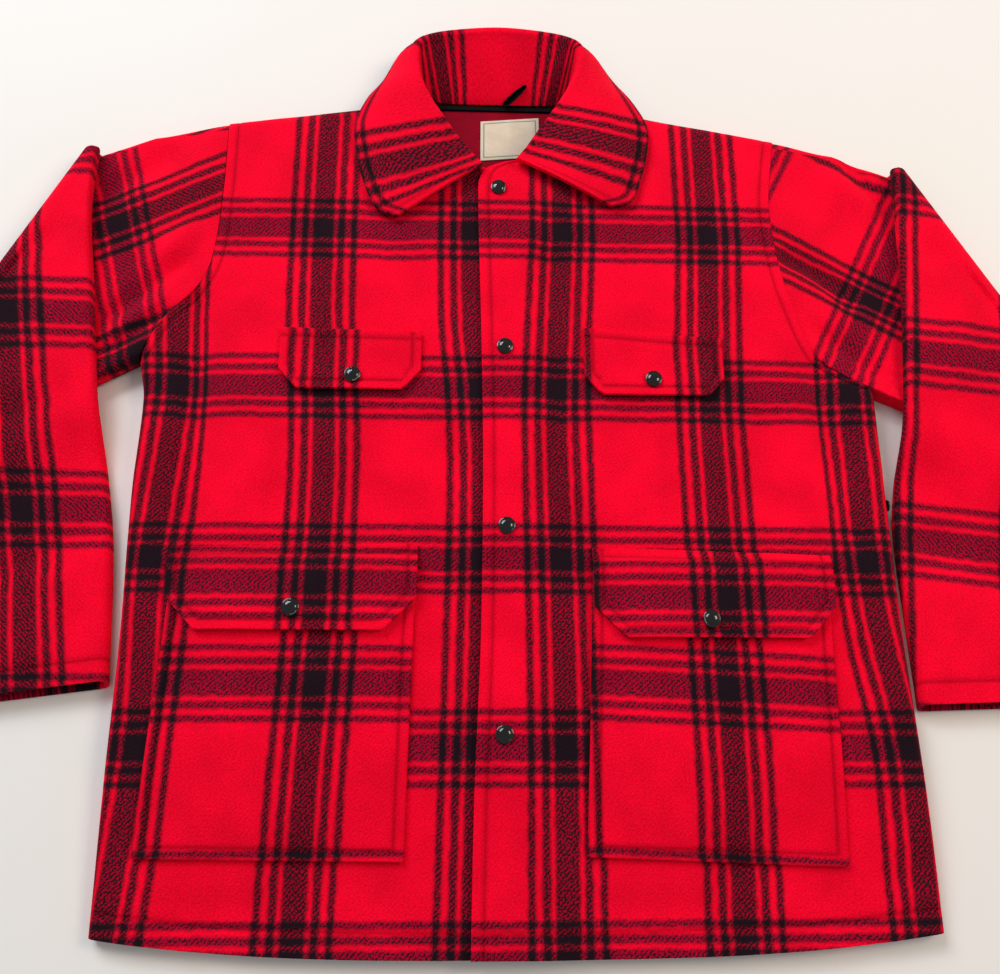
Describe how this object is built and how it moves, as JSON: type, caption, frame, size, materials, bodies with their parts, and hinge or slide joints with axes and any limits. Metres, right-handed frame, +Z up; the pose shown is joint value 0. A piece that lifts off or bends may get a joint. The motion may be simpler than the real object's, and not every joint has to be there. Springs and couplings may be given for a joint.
{
  "type": "hunting coat",
  "caption": "Plaid wool hunting coat, snapped shut and laid flat on its back, with folded sleeves, a turned-down collar and flapped patch pockets.",
  "frame": {"origin": "middle of the coat's box, on the surface it lies on", "axes": "+X to the wearer's left, +Y from the hem to the collar, +Z up from the surface"},
  "size_m": [1.0034, 0.754, 0.0402],
  "materials": {
    "wool": "napped twill in a red and black plaid",
    "satin": "deep red satin",
    "tape": "black woven tape",
    "label": "off-white woven label with a plain border",
    "snap": "gloss black enamel"
  },
  "bodies": {
    "root": {"back": "wool", "front_right": "wool", "front_left": "wool", "sleeve_right": "wool", "sleeve_left": "wool", "pocket_right": "wool", "pocket_left": "wool", "lower_flap_right": "wool", "lower_flap_left": "wool", "chest_flap_right": "wool", "chest_flap_left": "wool", "collar": "wool", "neck_lining": "satin", "neck_tape": "tape", "label": "label", "hanger_loop": "tape", "front_snap_1": "snap", "front_snap_2": "snap", "front_snap_3": "snap", "front_snap_4": "snap", "chest_snap_right": "snap", "chest_snap_left": "snap", "lower_snap_right": "snap", "lower_snap_left": "snap", "side_snap": "snap"}
  },
  "joints": []
}
